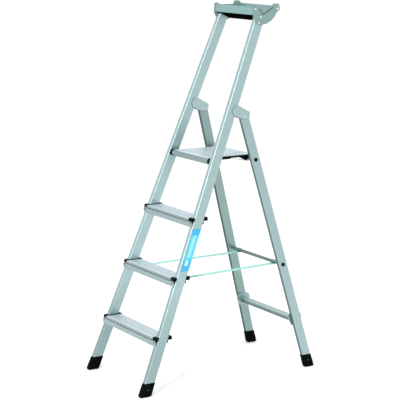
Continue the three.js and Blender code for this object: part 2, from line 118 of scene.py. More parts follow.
class Shader:
    """A Principled material and short ways to add nodes to it."""

    def __init__(self, name, color, roughness, metallic=0.0, **sockets):
        self.material = bpy.data.materials.new(name)
        self.material.use_nodes = True
        self.tree = self.material.node_tree
        self.bsdf = self.tree.nodes["Principled BSDF"]
        self.color = color
        self.bsdf.inputs["Base Color"].default_value = (*color, 1)
        self.bsdf.inputs["Roughness"].default_value = roughness
        self.bsdf.inputs["Metallic"].default_value = metallic
        for key, value in sockets.items():
            self.bsdf.inputs[key.replace("_", " ")].default_value = value

    def set(self, socket, value):
        """Sets a node's socket to a value, or links it to another node's output."""
        if hasattr(value, "is_output"):
            self.tree.links.new(value, socket)
        else:
            socket.default_value = value

    def add(self, kind, inputs=None, **settings):
        node = self.tree.nodes.new(kind)
        for key, value in settings.items():
            setattr(node, key, value)
        for key, value in (inputs or {}).items():
            self.set(node.inputs[key], value)
        return node

    def link(self, output, socket):
        self.tree.links.new(output, self.bsdf.inputs[socket])

    def coordinates(self, per_metre, lean=0.0):
        """Row-frame coordinates in metres, turned so that a lean becomes upright, then scaled."""
        source = self.add("ShaderNodeTexCoord").outputs["Object"]
        upright = self.add("ShaderNodeMapping", {"Vector": source, "Rotation": (lean, 0, 0)})
        scaled = self.add("ShaderNodeMapping", {"Vector": upright.outputs[0], "Scale": per_metre})
        return scaled.outputs[0]

    def noise(self, vector, detail=3.0, roughness=0.5):
        inputs = {"Vector": vector, "Scale": 1.0, "Detail": detail, "Roughness": roughness}
        return self.add("ShaderNodeTexNoise", inputs).outputs["Fac"]

    def even_noise(self, per_metre, detail=3.0, roughness=0.5):
        """Noise of the same size in every direction."""
        return self.noise(self.coordinates((per_metre,) * 3), detail, roughness)

    def ramp(self, value, low, high, to_low, to_high):
        return self.add("ShaderNodeMapRange", {
            "Value": value, "From Min": low, "From Max": high, "To Min": to_low, "To Max": to_high,
        }).outputs[0]

    def math(self, operation, a, b):
        return self.add("ShaderNodeMath", {0: a, 1: b}, operation=operation).outputs[0]

    def weighted(self, a, share_a, b, share_b):
        """The weighted sum of two values."""
        parts = self.math("MULTIPLY", a, share_a), self.math("MULTIPLY", b, share_b)
        return self.math("ADD", *parts)

    def mix(self, factor, a, b):
        node = self.add("ShaderNodeMix", data_type="RGBA")
        for index, value in ((0, factor), (6, a), (7, b)):  # the sockets of a colour mix
            self.set(node.inputs[index], value)
        return node.outputs[2]

    def tint(self, factor, low, high):
        """Base colour between low and high times the material's own colour."""
        shades = [(*(min(1, c * k) for c in self.color), 1) for k in (low, high)]
        tone = self.mix(factor, *shades)
        self.link(tone, "Base Color")
        return tone

    def bump(self, height, distance, strength):
        inputs = {"Height": height, "Distance": distance, "Strength": strength}
        self.link(self.add("ShaderNodeBump", inputs).outputs[0], "Normal")


def drawn_aluminium(name, color, roughness, metallic, axis="X", lean=0.0, foot_shade=1.0):
    """Anodised extrusion: faint die lines along its axis, cloudy tone, a few handling marks.

    The last argument is how much of its tone is left near the floor, as painted shade there.
    """
    s = Shader(name, color, roughness, metallic)
    per_metre = [900.0, 900.0, 900.0]
    per_metre["XYZ".index(axis)] = 3.0
    lines = s.noise(s.coordinates(per_metre, lean), detail=2.0)
    clouds = s.even_noise(6, detail=4.0, roughness=0.6)
    marks = s.even_noise(60, detail=6.0, roughness=0.7)
    tone = s.tint(s.weighted(lines, 0.45, clouds, 0.55), 0.93, 1.07)
    # Painted shade towards the floor, fading out between two heights
    if foot_shade < 1:
        low, high = 0.17, 0.42  # heights in metres between which the painted shade fades out
        position = s.coordinates((1, 1, 1))
        height = s.add("ShaderNodeSeparateXYZ", {"Vector": position}).outputs["Z"]
        shaded_foot = (*(c * foot_shade for c in color), 1)
        s.link(s.mix(s.ramp(height, low, high, 0.0, 1.0), shaded_foot, tone), "Base Color")
    wear = s.ramp(marks, 0.55, 0.75, 0.0, 0.09)
    grain = s.ramp(lines, 0.3, 0.7, roughness - 0.05, roughness + 0.05)
    s.link(s.math("ADD", grain, wear), "Roughness")
    s.bump(s.math("ADD", lines, s.math("MULTIPLY", marks, 0.12)), 0.00002, 0.5)
    return s.material


def plate_aluminium(name, color, roughness, metallic):
    """Pressed sheet: an even satin grain with soft clouds."""
    s = Shader(name, color, roughness, metallic)
    grain = s.even_noise(1500, detail=2.0)
    clouds = s.even_noise(14, detail=4.0, roughness=0.6)
    s.tint(clouds, 0.92, 1.08)
    satin = s.ramp(s.math("ADD", grain, clouds), 0.7, 1.3, roughness - 0.06, roughness + 0.08)
    s.link(satin, "Roughness")
    s.bump(grain, 0.00005, 0.5)
    return s.material


def moulded_plastic(name, color, roughness, grain_size, depth, gloss):
    """Black moulding: spark-eroded grain, slightly paler and rougher where it is handled."""
    s = Shader(name, color, roughness, Specular_IOR_Level=gloss)
    grain = s.even_noise(1 / grain_size, detail=3.0)
    scuffs = s.even_noise(35, detail=6.0, roughness=0.7)
    s.tint(s.ramp(scuffs, 0.4, 0.75, 0.0, 1.0), 0.8, 2.2)
    s.link(s.ramp(scuffs, 0.3, 0.8, roughness - 0.08, roughness + 0.12), "Roughness")
    s.bump(grain, depth, 0.7)
    return s.material


def plated_steel(name, color):
    """Bright plating with small duller spots."""
    s = Shader(name, color, 0.28, 1.0)
    spots = s.even_noise(220, detail=5.0, roughness=0.65)
    s.tint(spots, 0.82, 1.12)
    s.link(s.ramp(spots, 0.35, 0.7, 0.2, 0.42), "Roughness")
    s.bump(spots, 0.00004, 0.5)
    return s.material


def woven_webbing():
    """Plain-weave polyester: picks across the strap and ends along it."""
    s = Shader("turquoise_webbing", (0.17, 0.62, 0.53), 0.75,
               Sheen_Weight=0.35, Sheen_Roughness=0.5)
    uv = s.add("ShaderNodeUVMap", uv_map="UVMap").outputs[0]
    bands = 0.15915  # a Wave Texture's scale times the pitch, for one crest every two pitches

    def wave(direction, pitch):
        inputs = {"Vector": uv, "Scale": bands / pitch}
        return s.add("ShaderNodeTexWave", inputs, wave_type="BANDS", bands_direction=direction,
                     wave_profile="SIN").outputs["Fac"]

    ends, picks = wave("X", 0.0011), wave("Y", 0.0016)
    weave = s.math("MULTIPLY", s.math("ADD", ends, 0.35), s.math("ADD", picks, 0.35))
    fuzz = s.even_noise(900, detail=3.0)
    s.tint(s.weighted(weave, 0.5, fuzz, 0.35), 0.72, 1.12)
    s.bump(s.math("ADD", weave, s.math("MULTIPLY", fuzz, 0.4)), 0.0003, 0.8)
    return s.material


def printed_film(name, color):
    s = Shader(name, color, 0.3, Coat_Weight=0.35, Coat_Roughness=0.15)
    haze = s.even_noise(45, detail=5.0, roughness=0.6)
    s.tint(haze, 0.94, 1.06)
    s.link(s.ramp(haze, 0.3, 0.7, 0.24, 0.42), "Roughness")
    s.bump(s.even_noise(700, detail=2.0), 0.00003, 0.4)
    return s.material


def studio_floor():
    s = Shader("studio_floor", (0.985, 0.985, 0.985), 0.9)
    s.tint(s.even_noise(0.8, detail=2.0), 0.995, 1.005)
    return s.material


# Front rails, with painted shade towards the floor
RAIL_FRONT = drawn_aluminium("aluminium_front_rail", (0.33, 0.45, 0.46), 0.31, 0.8, "Z", FRONT.lean,
                             foot_shade=0.74)
# Rear legs: outer faces, then painted shade on the inner faces and on the front of the right-hand
# and the left-hand leg
RAIL_REAR = drawn_aluminium("aluminium_rear_leg", (0.315, 0.42, 0.43), 0.34, 0.8, "Z", REAR.lean)
REAR_INNER_SHADE = drawn_aluminium("aluminium_leg_inner_painted_shade", (0.235, 0.335, 0.325), 0.38, 0.8, "Z",
                             REAR.lean)
REAR_FRONT_SHADE = drawn_aluminium("aluminium_leg_front_painted_shade", (0.10, 0.16, 0.16), 0.42, 0.8, "Z", REAR.lean)
REAR_SHADE = drawn_aluminium("aluminium_leg_shade", (0.045, 0.08, 0.08), 0.42, 0.8, "Z", REAR.lean)
# Brace, treads, platform and rods; lit and shaded copies of one aluminium paint light on tops and
# shade on fronts, noses and undersides
CROSS_LIT = drawn_aluminium("aluminium_cross_painted_light", (0.38, 0.48, 0.47), 0.42, 0.72)
CROSS_SHADE = drawn_aluminium("aluminium_cross_painted_shade", (0.09, 0.14, 0.135), 0.42, 0.72)
CROSS = drawn_aluminium("aluminium_cross_bar", (0.165, 0.24, 0.235), 0.42, 0.72)
DECK = drawn_aluminium("aluminium_deck", (0.66, 0.75, 0.82), 0.45, 0.65)
DECK_FACE_SHADE = drawn_aluminium("aluminium_deck_face_painted_shade", (0.27, 0.345, 0.355), 0.42, 0.7)
DECK_NOSE_SHADE = drawn_aluminium("aluminium_deck_nose_painted_shade", (0.22, 0.29, 0.30), 0.42, 0.7)
ROD_METAL = drawn_aluminium("aluminium_rod", (0.19, 0.27, 0.27), 0.4, 0.8)
ROD_HALF_SHADE = drawn_aluminium("aluminium_rod_painted_half_shade", (0.115, 0.165, 0.165), 0.4, 0.8)
ROD_SHADE = drawn_aluminium("aluminium_rod_painted_shade", (0.06, 0.09, 0.09), 0.4, 0.8)
# Sheet
PLATE = plate_aluminium("aluminium_plate", (0.29, 0.40, 0.40), 0.4, 0.8)
TRAY_SHEET = plate_aluminium("aluminium_tray", (0.245, 0.40, 0.395), 0.4, 0.8)
END_PLATE = plate_aluminium("aluminium_end_plate", (0.22, 0.33, 0.32), 0.4, 0.8)
# Painted shade along broken edges
EDGE_SHADE = plate_aluminium("aluminium_edge_painted_shade", (0.07, 0.12, 0.12), 0.5, 0.5)
# Painted shade in grooves and recesses
GROOVE_SHADE = plate_aluminium("aluminium_groove_painted_shade", (0.05, 0.09, 0.09), 0.6, 0.3)
DARK_STEEL = plate_aluminium("dark_steel", (0.06, 0.07, 0.07), 0.4, 0.9)
# Fasteners
STEEL = plated_steel("plated_steel", (0.62, 0.66, 0.67))
RIVET_METAL = plated_steel("rivet_aluminium", (0.44, 0.55, 0.56))
# Mouldings, and painted shade under the tray
BLACK = moulded_plastic("black_plastic", (0.0016, 0.0028, 0.0026), 0.5, 0.0006, 0.00008, 0.025)
RUBBER = moulded_plastic("black_rubber", (0.0016, 0.0028, 0.0026), 0.62, 0.0009, 0.00012, 0.015)
UNDERSIDE_SHADE = moulded_plastic("matt_black_painted_shade", (0.0015, 0.0018, 0.0018), 0.8, 0.0012, 0.00006, 0.0)
# Straps and label
WEBBING = woven_webbing()
FILM_BLUE = printed_film("film_blue", (0.017, 0.31, 0.53))
FILM_CYAN = printed_film("film_cyan", (0.05, 0.43, 0.56))
FILM_WHITE = printed_film("film_white", (0.40, 0.60, 0.62))

# ---- Mesh helpers -------------------------------------------------------------------------------


def arc(cy, cz, radius, start, end, steps=8):
    """Points of an arc in (y, z), from start to end in degrees."""
    turns = (math.radians(start + (end - start) * i / steps) for i in range(steps + 1))
    return [(cy + radius * math.cos(a), cz + radius * math.sin(a)) for a in turns]


def rounded_ring(x0, x1, y0, y1, radius, steps=5):
    """A rectangle with round corners, as (x, y) points going round once."""
    points = []
    for cx, cy, start in ((x1 - radius, y1 - radius, 0), (x0 + radius, y1 - radius, 90),
                          (x0 + radius, y0 + radius, 180), (x1 - radius, y0 + radius, 270)):
        points += arc(cx, cy, radius, start, start + 90, steps)
    return points


def new_object(name, mesh, materials):
    obj = bpy.data.objects.new(name, mesh)
    bpy.context.scene.collection.objects.link(obj)
    for material in materials if isinstance(materials, (list, tuple)) else [materials]:
        obj.data.materials.append(material)
    return obj


def smooth(obj):
    """Shades smoothly, apart from edges sharper than 35 degrees."""
    mesh = obj.data
    mesh.polygons.foreach_set("use_smooth", [True] * len(mesh.polygons))
    mesh.set_sharp_from_angle(angle=math.radians(35))


def weigh(obj):
    """Keeps the flats flat beside rounded edges."""
    normals = obj.modifiers.new("normals", "WEIGHTED_NORMAL")
    normals.keep_sharp = True
    normals.weight = 80


def rounded_edges(obj, width, segments=2, edge=-1):
    """Breaks the sharp edges; edge is the material slot of the broken edges, -1 for none."""
    bevel = obj.modifiers.new("edges", "BEVEL")
    bevel.width, bevel.segments = width / 1000, segments
    bevel.limit_method, bevel.angle_limit = "ANGLE", math.radians(30)
    bevel.use_clamp_overlap = True
    bevel.miter_outer = "MITER_ARC"
    bevel.material = edge
    weigh(obj)


def build(name, vertices, faces, materials, indices=None):
    """An object from row-frame points, with its faces turned outwards."""
    mesh = bpy.data.meshes.new(name)
    mesh.from_pydata([tuple(v) for v in vertices], [], faces)
    if indices:
        mesh.polygons.foreach_set("material_index", indices)
    bm = bmesh.new()
    bm.from_mesh(mesh)
    bmesh.ops.recalc_face_normals(bm, faces=bm.faces)
    bm.to_mesh(mesh)
    bm.free()
    obj = new_object(name, mesh, materials)
    smooth(obj)
    return obj


def loft(name, rings, materials, cyclic=False):
    """Joins rings of equal length with quads; an open loft gets end faces."""
    count = len(rings[0])
    vertices = [p for ring in rings for p in ring]
    faces = []
    for i in range(len(rings) if cyclic else len(rings) - 1):
        a, b = i * count, (i + 1) % len(rings) * count
        for k in range(count):
            following = (k + 1) % count
            faces.append((a + k, a + following, b + following, b + k))
    if not cyclic:
        faces += [tuple(range(count)), tuple(range(len(vertices) - count, len(vertices)))]
    return build(name, vertices, faces, materials)


def prism(name, outline, x0, x1, materials):
    """An outline in (y, z) carried along X."""
    return loft(name, [[place(x, y, z) for y, z in outline] for x in (x0, x1)], materials)


def turned(name, profile, y, z, materials, side=1, segments=28, closed=False):
    """A round piece on the X axis through (y, z), from (x, radius) pairs."""
    turns = [2 * math.pi * k / segments for k in range(segments)]
    rings = [[place(side * x, y + radius * math.cos(a), z + radius * math.sin(a)) for a in turns]
             for x, radius in profile]
    obj = loft(name, rings, materials, cyclic=closed)
    weigh(obj)
    return obj


def copy_of(node, name, materials, width, segments=2, edge=-1):
    """The CAD node's own shape with broken edges."""
    mesh = frame["nodes"][node].data.copy()
    mesh.name = name
    mesh.materials.clear()
    bm = bmesh.new()
    bm.from_mesh(mesh)
    bmesh.ops.remove_doubles(bm, verts=bm.verts, dist=2e-6)
    bmesh.ops.dissolve_limit(bm, angle_limit=math.radians(1), verts=bm.verts, edges=bm.edges)
    bm.to_mesh(mesh)
    bm.free()
    obj = new_object(name, mesh, materials)
    smooth(obj)
    rounded_edges(obj, width, segments, edge)
    return obj


def move_turned(obj, spot, quarter_turns):
    """Turns a piece made on the X axis about Z by quarter turns, and moves its start to spot."""
    turn = Matrix.Rotation(quarter_turns * math.pi / 2, 4, "Z")
    obj.data.transform(Matrix.Translation(spot) @ turn)


def settle(obj, body, slot, *nodes):
    """The piece rides on its body and stands for its CAD nodes."""
    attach(obj, body)
    if nodes:
        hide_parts(*nodes)


def both(make):
    """Calls make for the right-hand and the left-hand piece."""
    for word, side in SIDES:
        make(word, side)


# ---- Rails, legs and shoes ----------------------------------------------------------------------


def rail_ring(rails, side, z, grow, radius, steps=5):
    """A rail's section at height z, larger by grow on every side."""
    section = rounded_ring(-rails.thickness - grow, grow, -grow, rails.depth + grow, radius, steps)
    points = (rails.leaned(x, y, z) for x, y in section)
    return [place(side * x, y, height) for x, y, height in points]


def rail(name, rails, top, side, materials):
    """A hollow box section with round corners and a broken edge at each end."""
    edge, inside = 0.5, RAIL_WALL
    levels = (  # height, how far out from the rail's faces, corner radius
        (RAIL_END, -edge, 3), (RAIL_END + edge, 0, RAIL_CORNER), (top - edge, 0, RAIL_CORNER),
        (top, -edge, 3), (top, edge / 2 - inside, 2), (top - edge, -inside, 1.8),
        (RAIL_END, -inside, 1.8),
    )
    rings = [rail_ring(rails, side, z, grow, radius) for z, grow, radius in levels]
    obj = loft(name, rings, materials, cyclic=True)
    weigh(obj)
    return obj


def paint_leg_shade(obj, side):
    """Paints shade on the legs' inner faces and fronts: they get darker copies of the outer faces'
    aluminium.
    """
    facing = 0.6
    for face in obj.data.polygons:
        if face.normal.y < -facing:
            face.material_index = 2
        elif side * face.normal.x < -facing:
            face.material_index = 1


# A shoe's section: height, and how far it stands out from its rail there. It goes up the outside
# from the sole and then down inside.
SHOE = ((0, -6), (0.4, -3.2), (1.6, -0.6), (3.6, 1.2), (6.5, 2.5), (10, 3.2), (13, 3.2),
        (14.2, 2.5), (15.2, 2.5), (16.4, 3.0), (20, 2.9), (50, 2.0), (53.6, 1.9), (54.7, 1.4),
        (55, 0.7), (54, 0.35), (40, 0.35))


def shoe(name, rails, side):
    least = -1.5  # the sole's corners don't get sharper than this
    rings = [rail_ring(rails, side, z, grow, RAIL_CORNER + max(grow, least), 6) for z, grow in SHOE]
    obj = loft(name, rings, RUBBER)
    weigh(obj)
    return obj


def shoe_pin(name, rails, side):
    """A small pressed pin that keeps the shoe on, in the middle of its outer face."""
    z, shoe_wall = 30, 2.1
    face = rails.outer(z) + shoe_wall
    head = [(face, 3.0), (face + 0.5, 2.8), (face + 0.9, 2.0), (face + 1.1, 0.8)]
    return turned(name, head, rails.middle(z), z, DARK_STEEL, side, 20)


def frames(word, side):
    settle(rail("front_rail_shell_" + word, FRONT, FRONT_TOP, side, RAIL_FRONT),
           "front_frame", "rail_aluminium", "front_rail_" + word)
    front = REAR_FRONT_SHADE if side > 0 else REAR_SHADE
    leg = rail("rear_leg_shell_" + word, REAR, REAR_TOP, side, [RAIL_REAR, REAR_INNER_SHADE, front])
    paint_leg_shade(leg, side)
    settle(leg, "rear_frame", "rail_aluminium", "rear_leg_" + word)
    for end, rails, body in (("front", FRONT, "front_frame"), ("rear", REAR, "rear_frame")):
        settle(shoe(f"{end}_shoe_{word}", rails, side), body, "foot_rubber", f"{end}_foot_{word}")
        settle(shoe_pin(f"{end}_shoe_pin_{word}", rails, side), body, "steel")


both(frames)

# ---- Treads and their collars -------------------------------------------------------------------

# A groove between two ribs: distance from the pitch line behind it, and share of the depth.
GROOVE = ((1.9, 0), (1.5, 1), (0.7, 1), (0.3, 0))
# Where the recess between a tread's nose and its lip lies: behind the nose, and above the top.
RECESS_Y, RECESS_Z = (1.5, 5), (-12.2, -8.8)


def ribbed(start, end, top, pitch):
    """The top line of a tread or deck, from back to front: flat ribs with grooves between."""
    points, y, depth = [], start, 0.7
    while y - pitch > end:
        points += [(y - pitch + edge, top - share * depth) for edge, share in GROOVE]
        y -= pitch
    return points


def tread_outline():
    """Across a tread: the board with its rear lip, the round nose, and the front lip below it."""
    nose, rear, wall = TREAD_NOSE, TREAD_REAR, 2.4
    face, back = nose + LIP_FACE, nose + LIP_BACK
    return [
        (rear, -20), (rear, -1.2), (rear - 1.2, 0), *ribbed(rear - 3, nose + 12, 0, 4.6),
        *arc(nose + 6, -6, 6, 90, 205, 10),
        (nose + 4.4, -9.2), (nose + 4.4, -11.4), (nose + 1.2, -12.0), (face, -LIP_TOP),
        (face, 0.6 - LIP_BOTTOM), (nose + 1.5, -LIP_BOTTOM), (nose + 2.8, -LIP_BOTTOM),
        (back, 0.6 - LIP_BOTTOM), (back, -14),
        (nose + 6.6, -12.4), (nose + 6.6, -8.8), *arc(nose + 8.6, -6.6, 3.8, 190, 95, 5),
        (rear - wall, -wall), (rear - wall, -20),
    ]


def paint_front_shade(obj, top, drop):
    """Paints shade on the plain faces in front, and on those more than drop below the top: they get
    the second, darker material.
    """
    forwards = 0.35
    for face in obj.data.polygons:
        if face.normal.y < -forwards or face.center.z < (top - drop) / 1000:
            face.material_index = 1


def paint_recess_shade(obj, y, z):
    """Paints shade into the groove between a tread's nose and its lip."""
    for face in obj.data.polygons:
        depth = face.center.y * 1000 + MIDDLE_Y - y - TREAD_NOSE
        height = face.center.z * 1000 - z
        if RECESS_Y[0] < depth < RECESS_Y[1] and RECESS_Z[0] < height < RECESS_Z[1]:
            face.material_index = 2


def lip_wing(name, y, z, reach, side):
    """The end of a front lip, with round corners, where it lies over the rail, in the painted shade
    of the tread's front.
    """
    front, back = y + TREAD_NOSE + LIP_FACE, y + TREAD_NOSE + LIP_BACK
    low, high, radius, inset, overlap = z - LIP_BOTTOM, z - LIP_TOP, 3.0, 0.5, 0.4
    outline = [(reach - overlap, high), (reach - overlap, low)]
    for cz, start in ((low + radius, -90), (high - radius, 0)):
        outline += arc(FRONT.outer(cz) - inset - radius, cz, radius, start, start + 90, 5)
    rings = [[place(side * x, depth, height) for x, height in outline] for depth in (front, back)]
    obj = loft(name, rings, DECK_FACE_SHADE)
    rounded_edges(obj, 0.4)
    return obj


def treads():
    """Three steps; the front lip of each runs on over the front faces of both rails."""
    outline = tread_outline()
    for step in STEPS:
        z = step * STEP
        y = FRONT.front_at(z)
        reach = FRONT.inner(z) - TREAD_END
        obj = prism(f"tread_board_{step}", [(y + py, z + pz) for py, pz in outline],
                    -reach, reach, [DECK, DECK_FACE_SHADE, GROOVE_SHADE])
        paint_front_shade(obj, z, 8)
        paint_recess_shade(obj, y, z)
        settle(obj, "front_frame", "deck_aluminium", f"tread_{step}")
        for word, side in SIDES:
            settle(lip_wing(f"lip_wing_{step}_{word}", y, z, reach, side),
                   "front_frame", "deck_aluminium")


def small_parts(word, side):
    """The collars, brackets and side caps: the CAD's own shapes with their edges broken."""
    for step in STEPS:
        settle(copy_of(f"tread_collar_{step}_{word}", f"collar_{step}_{word}", BLACK, 1.1, 3),
               "front_frame", "black_plastic", f"tread_collar_{step}_{word}")
    # The hinge cheeks' broken edges get painted shade
    cheeks = [RAIL_FRONT, EDGE_SHADE]
    settle(copy_of("hinge_bracket_" + word, "hinge_cheeks_" + word, cheeks, 1.0, edge=1),
           "front_frame", "rail_aluminium", "hinge_bracket_" + word)
    settle(copy_of("brace_bracket_" + word, "brace_plate_" + word, PLATE, 0.8),
           "rear_frame", "rail_aluminium", "brace_bracket_" + word)
    settle(copy_of("platform_side_cap_" + word, "deck_side_cap_" + word, BLACK, 0.8),
           "platform", "black_plastic", "platform_side_cap_" + word)


treads()
both(small_parts)

# ---- Platform -----------------------------------------------------------------------------------

DECK_BORE, DECK_HALF, NOSE_HALF = 9, 127, 137  # the nose's bore, and half widths of deck and nose


def deck():
    """A ribbed plate with a round nose that hooks over the axle, two stiffeners and a rear lip."""
    reach, plate, lip, stiffener, rib = 218, 2.2, 13, 10, 2
    under = NOSE - plate
    outline = [
        (reach, NOSE - lip), (reach, NOSE - 1.2), (reach - 1.2, NOSE),
        *ribbed(reach - 4, 12, NOSE, 6.2),
        *arc(0, 0, NOSE, 90, 300, 26), *arc(0, 0, DECK_BORE, 300, 84, 22), (10, under),
    ]
    for y in (70, 135):
        foot = NOSE - stiffener
        outline += [(y, under), (y, foot), (y + rib, foot), (y + rib, under)]
    outline += [(reach - plate, under), (reach - plate, NOSE - lip)]
    obj = prism("platform_board", [(AXLE_Y + y, AXLE_Z + z) for y, z in outline],
                -DECK_HALF, DECK_HALF, [DECK, DECK_NOSE_SHADE])
    paint_front_shade(obj, DECK_TOP, 6)
    settle(obj, "platform", "deck_aluminium", "platform_deck")
    sleeve = [(DECK_HALF, NOSE), (NOSE_HALF - 0.6, NOSE), (NOSE_HALF, NOSE - 0.6),
              (NOSE_HALF, DECK_BORE + 0.4), (NOSE_HALF - 0.4, DECK_BORE), (DECK_HALF, DECK_BORE)]
    # The sleeves carry the nose's painted shade all round
    for word, side in SIDES:
        settle(turned("nose_sleeve_" + word, sleeve, AXLE_Y, AXLE_Z, DECK_NOSE_SHADE, side, 40, True),
               "platform", "deck_aluminium")


def bush(word, side):
    """A flanged black bush in each end of the nose, with a rounded flange."""
    bore, spigot, length, edge = 5.3, 8.7, 15, 0.8
    end, face = NOSE_HALF + GAP, FRONT.inner(DECK_TOP) - GAP
    profile = [(end - length, bore), (end - length, spigot), (end, spigot), (end, NOSE - edge),
               (end + edge, NOSE), (face - 0.6, NOSE), (face, NOSE - edge), (face, bore)]
    settle(turned("nose_bush_" + word, profile, AXLE_Y, AXLE_Z, BLACK, side, 40, True),
           "front_frame", "black_plastic", "platform_bush_" + word)


def axle():
    radius, chamfer, in_rail = 5, 0.6, 8
    end = FRONT.inner(AXLE_Z) + in_rail
    profile = [(-end, radius - chamfer), (-end + chamfer, radius), (end - chamfer, radius),
               (end, radius - chamfer)]
    settle(turned("axle_rod", profile, AXLE_Y, AXLE_Z, STEEL), "front_frame", "steel",
           "platform_axle")


deck()
both(bush)
axle()

# ---- Rear frame ---------------------------------------------------------------------------------

# A rod's plug: how far out from the leg's face, and its radius, from the spigot to the middle.
PLUG = ((-14, 4.6), (-13.4, 5.1), (0, 5.1), (0, 8.0), (0.3, 8.2), (1.1, 7.8), (1.6, 6.6),
        (1.2, 5.2), (1.1, 3.4), (1.5, 2.2), (1.9, 0.8))
PLUG_HEAD = 8.2


def banded(obj, height, limits):
    """Gives a bar one material above the first limit, the next one below it, and so on: bands of
    painted light and shade.
    """
    for face in obj.data.polygons:
        face.material_index = sum(height(face) < limit for limit in limits)


def cross_rods():
    """The rest rod and the strap rod: tubes with a plug in each end, with painted shade on their
    sides and darker painted shade below.
    """
    wall, edge = 1.6, 0.4
    lit_and_shaded = [ROD_METAL, ROD_HALF_SHADE, ROD_SHADE]
    for name, node, z in (("rest_tube", "rest_rod", REST_Z), ("strap_tube", "strap_rod", STRAP_Z)):
        end = REAR.outer(z + ROD_R) - GAP
        profile = [(-end, ROD_R - wall), (-end, ROD_R - edge), (-end + edge, ROD_R),
                   (end - edge, ROD_R), (end, ROD_R - edge), (end, ROD_R - wall)]
        tube = turned(name, profile, REAR.middle(z), z, lit_and_shaded, 1, 32, True)
        # Painted shade: the sides and the underside get darker copies
        banded(tube, lambda face: face.normal.z, (0.35, -0.35))
        settle(tube, "rear_frame", "rail_aluminium", node)
        for word, side in SIDES:
            face = REAR.outer(z - PLUG_HEAD) + GAP
            cap = [(face + x, radius) for x, radius in PLUG]
            settle(turned(f"{name}_cap_{word}", cap, REAR.middle(z), z, BLACK, side, 32),
                   "rear_frame", "black_plastic", f"{node}_plug_{word}")


def brace():
    """A hollow cross bar with round corners, with painted light on its upper part and painted shade
    towards its bottom.
    """
    half_depth, half_height, wall, edge = 9, 13.5, 1.6, 0.4
    band = 4        # half the height of the middle band, between the painted light and the painted shade
    end_room = 3.6  # between the bar's ends and the legs
    y, reach = REAR.middle(BRACE_Z), REAR.inner(BRACE_Z + half_height) - end_room

    def ring(x, grow, radius):
        depth, height = half_depth + grow, half_height + grow
        points = rounded_ring(-depth, depth, -height, height, radius)
        points[12:12] = [(-depth, band), (-depth, -band)]  # between the two front corners
        return [place(x, y + py, BRACE_Z + pz) for py, pz in points]

    rings = [ring(-reach, -edge, 4.6), ring(-reach + edge, 0, 5), ring(reach - edge, 0, 5),
             ring(reach, -edge, 4.6), ring(reach, -wall, 3.4), ring(-reach, -wall, 3.4)]
    obj = loft("brace_bar", rings, [CROSS_LIT, CROSS, CROSS_SHADE], cyclic=True)
    weigh(obj)
    banded(obj, lambda face: face.center.z * 1000 - BRACE_Z, (band - 0.1, 0.1 - band))
    settle(obj, "rear_frame", "rail_aluminium", "rear_brace")


cross_rods()
brace()

# ---- Hinge rivets, tread rivets, tray screws ----------------------------------------------------

# Heads and shanks as pairs of distance outwards and radius.
HINGE_DOME = ((0, 6.5), (0.7, 6.5), (1.3, 5.9), (1.9, 4.6), (2.3, 2.8), (2.4, 0.9))
HINGE_SHANK, HINGE_CHEEK = 4, 3.1  # the cheek's outer face is that far from the rail's
TREAD_RIVET = ((-10, 2.2), (0.2, 2.2), (0.2, 3.4), (0.7, 3.6), (1.3, 3.1), (1.9, 1.9), (2.2, 0.6))
TREAD_RIVET_DROP = 16.5  # below the tread's top
TRAY_SCREW = ((-3.3, 2.5), (0, 2.5), (0, 4.5), (0.5, 4.6), (1.5, 4.1), (2.2, 2.9), (2.3, 1.9),
              (1.3, 1.2))
TRAY_SCREW_SEAT = 3.9  # out from the rail
TRAY_SCREW_AT = {
    "front": (TRAY_FRONT + 9, TRAY_RIM - 9),
    "upper": (FRONT.middle(1471), 1471),
    "lower": (FRONT.middle(1447), 1447),
    "rear": (TRAY_REAR - 7, TRAY_RIM - 10),
}


def hinge_rivet(word, side):
    """A shouldered rivet with a domed head outside each cheek."""
    outside, inside = FRONT.outer(HINGE_Z) + HINGE_CHEEK, FRONT.inner(HINGE_Z) - HINGE_CHEEK
    profile = [(inside - x, radius) for x, radius in reversed(HINGE_DOME)]
    profile += [(inside, HINGE_SHANK), (outside, HINGE_SHANK)]
    profile += [(outside + x, radius) for x, radius in HINGE_DOME]
    settle(turned("hinge_rivet_" + word, profile, HINGE_Y, HINGE_Z, RIVET_METAL, side, 32),
           "front_frame", "steel", "hinge_pin_" + word)


def tread_rivets(word, side):
    """Dark domed rivets through the front lips into the rails."""
    for step in STEPS:
        z = step * STEP - TREAD_RIVET_DROP
        head = turned(f"rail_rivet_{step}_{word}", TREAD_RIVET, MIDDLE_Y, 0, DARK_STEEL, 1, 24)
        lip = FRONT.front_at(step * STEP) + TREAD_NOSE + LIP_FACE
        move_turned(head, place(side * (FRONT.outer(z) - FRONT.thickness / 2), lip, z), -1)
        settle(head, "front_frame", "steel", f"tread_rivet_{step}_{word}")


def tray_screws(word, side):
    """Pan-head screws with a recess."""
    for spot, (y, z) in TRAY_SCREW_AT.items():
        face = FRONT.outer(z) + TRAY_SCREW_SEAT
        profile = [(face + x, radius) for x, radius in TRAY_SCREW]
        settle(turned(f"tray_bolt_{spot}_{word}", profile, y, z, STEEL, side, 28),
               "front_frame", "steel", f"tray_screw_{spot}_{word}")


both(hinge_rivet)
both(tread_rivets)
both(tray_screws)

# ---- Tool tray ----------------------------------------------------------------------------------

# The V-shaped line on the end plates: each corner as (y, z), and half its width along (y, z) there.
V_LINE = (((608, 1503), (1.9, 1.4)), ((624, 1481), (0.3, 2.9)), ((675, 1508), (-1.3, 1.9)))
